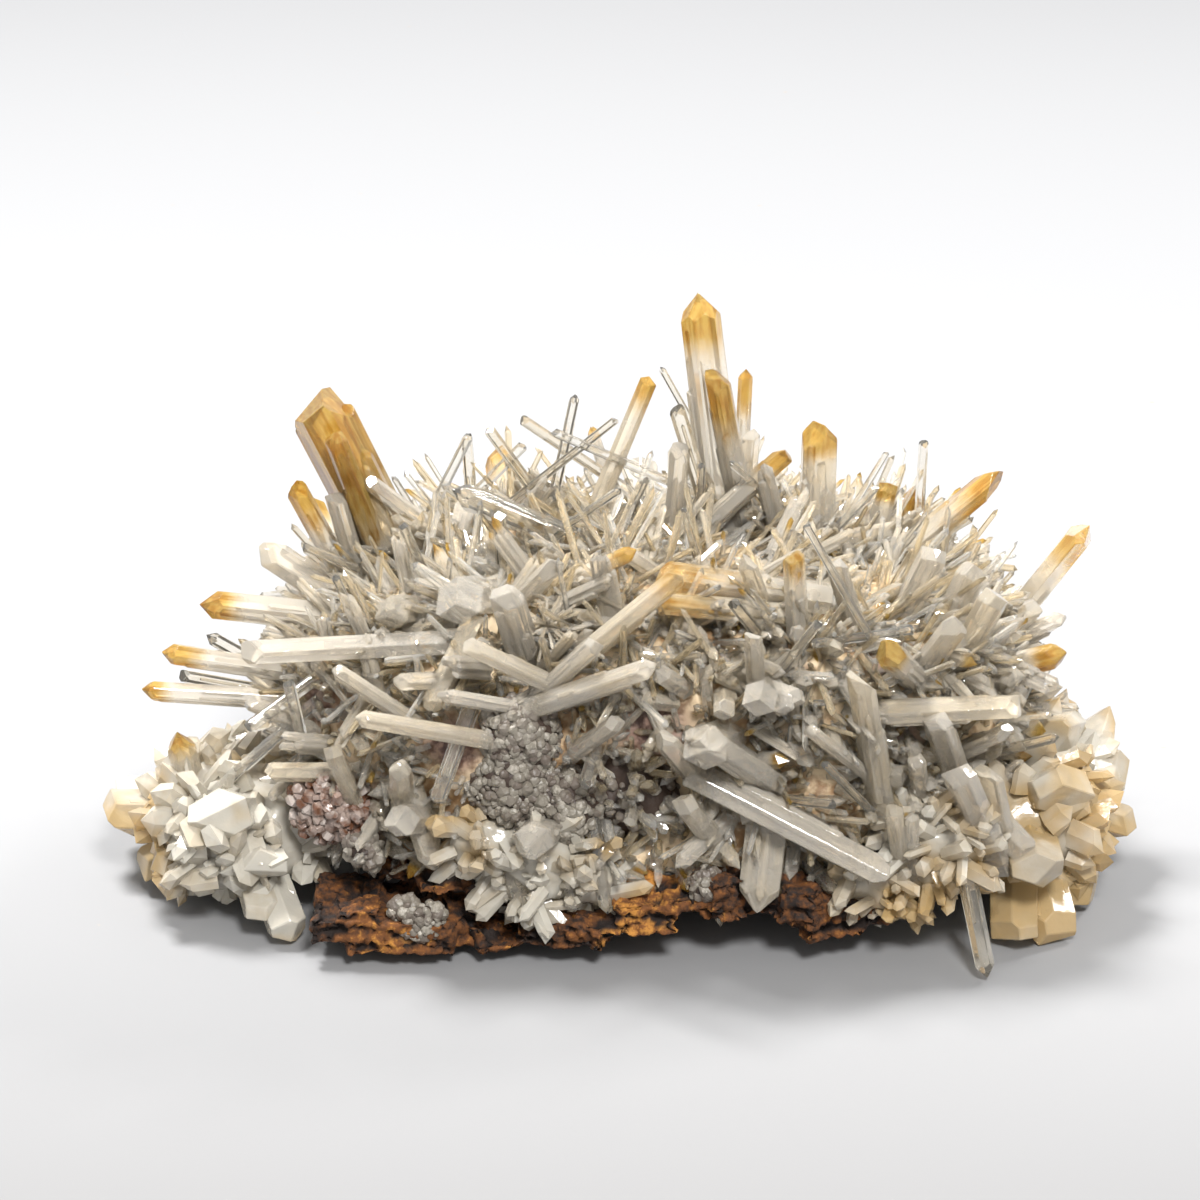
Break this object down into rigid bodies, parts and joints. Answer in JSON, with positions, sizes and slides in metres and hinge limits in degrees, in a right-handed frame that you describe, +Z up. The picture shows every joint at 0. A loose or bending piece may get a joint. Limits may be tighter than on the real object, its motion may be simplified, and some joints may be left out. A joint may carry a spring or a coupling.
{
  "type": "mango quartz crystal cluster",
  "caption": "Cluster of mango quartz: milky and clear crystals with yellow-orange tips radiate over a rusty ironstone matrix that it rests on.",
  "frame": {"origin": "on the ground under the middle of the cluster's outline", "axes": "+Z up, -Y towards the front that the picture shows, +X to the right of that view, along the cluster's length"},
  "size_m": [0.1376, 0.0859, 0.076],
  "materials": {
    "mango_crystal": "glossy translucent quartz, orange-yellow at the tip and milky below",
    "milky_crystal": "glossy translucent milky quartz with lengthwise lines",
    "clear_crystal": "clear quartz",
    "quartz_bed": "jackstraw bed of clear and milky needles over beige-brown crevices",
    "milky_mass": "blocky milky quartz, waxy",
    "grey_druse": "grey sparkling druse of rounded knobs",
    "ironstone_matrix": "rough rusty ironstone, orange to nearly black"
  },
  "bodies": {
    "root": {"clear_down_left": "clear_crystal", "clear_down_right": "clear_crystal", "clear_middle_right": "clear_crystal", "clear_rear_point": "clear_crystal", "clear_upright_rod": "clear_crystal", "grey_druse": "grey_druse", "ironstone_matrix": "ironstone_matrix", "mango_back_right": "mango_crystal", "mango_back_right_small": "mango_crystal", "mango_big_left": "mango_crystal", "mango_centre_right": "mango_crystal", "mango_diagonal": "mango_crystal", "mango_inner_left": "mango_crystal", "mango_leaf": "mango_crystal", "mango_left_lower": "mango_crystal", "mango_left_middle": "mango_crystal", "mango_left_of_tall": "mango_crystal", "mango_left_upper": "mango_crystal", "mango_low_left": "mango_crystal", "mango_pair": "mango_crystal", "mango_rear_left": "mango_crystal", "mango_rear_low": "mango_crystal", "mango_rear_right": "mango_crystal", "mango_rear_tall": "mango_crystal", "mango_right": "mango_crystal", "mango_right_tip": "mango_crystal", "mango_second_left": "mango_crystal", "mango_stub": "mango_crystal", "mango_tall": "mango_crystal", "mango_tall_side": "mango_crystal", "mango_twin": "mango_crystal", "milky_blade": "milky_crystal", "milky_block": "milky_crystal", "milky_blunt_right": "milky_crystal", "milky_centre": "milky_crystal", "milky_cream_block": "milky_crystal", "milky_cross_right": "milky_crystal", "milky_dark_end": "milky_crystal", "milky_diagonal_left": "milky_crystal", "milky_down_point": "milky_crystal", "milky_facet": "milky_crystal", "milky_flat_left": "milky_crystal", "milky_flat_right": "milky_crystal", "milky_front_diagonal": "milky_crystal", "milky_grey_end": "milky_crystal", "milky_grey_left": "milky_crystal", "milky_hex_right": "milky_crystal", "milky_hexagon": "milky_crystal", "milky_long_left": "milky_crystal", "milky_mass_left": "milky_mass", "milky_mass_right": "milky_mass", "milky_rear_blade": "milky_crystal", "milky_rear_left": "milky_crystal", "milky_rear_right": "milky_crystal", "milky_short_left": "milky_crystal", "milky_small_middle": "milky_crystal", "milky_tan_hexagon": "milky_crystal", "milky_upper_right": "milky_crystal", "quartz_bed": "quartz_bed"}
  },
  "joints": []
}
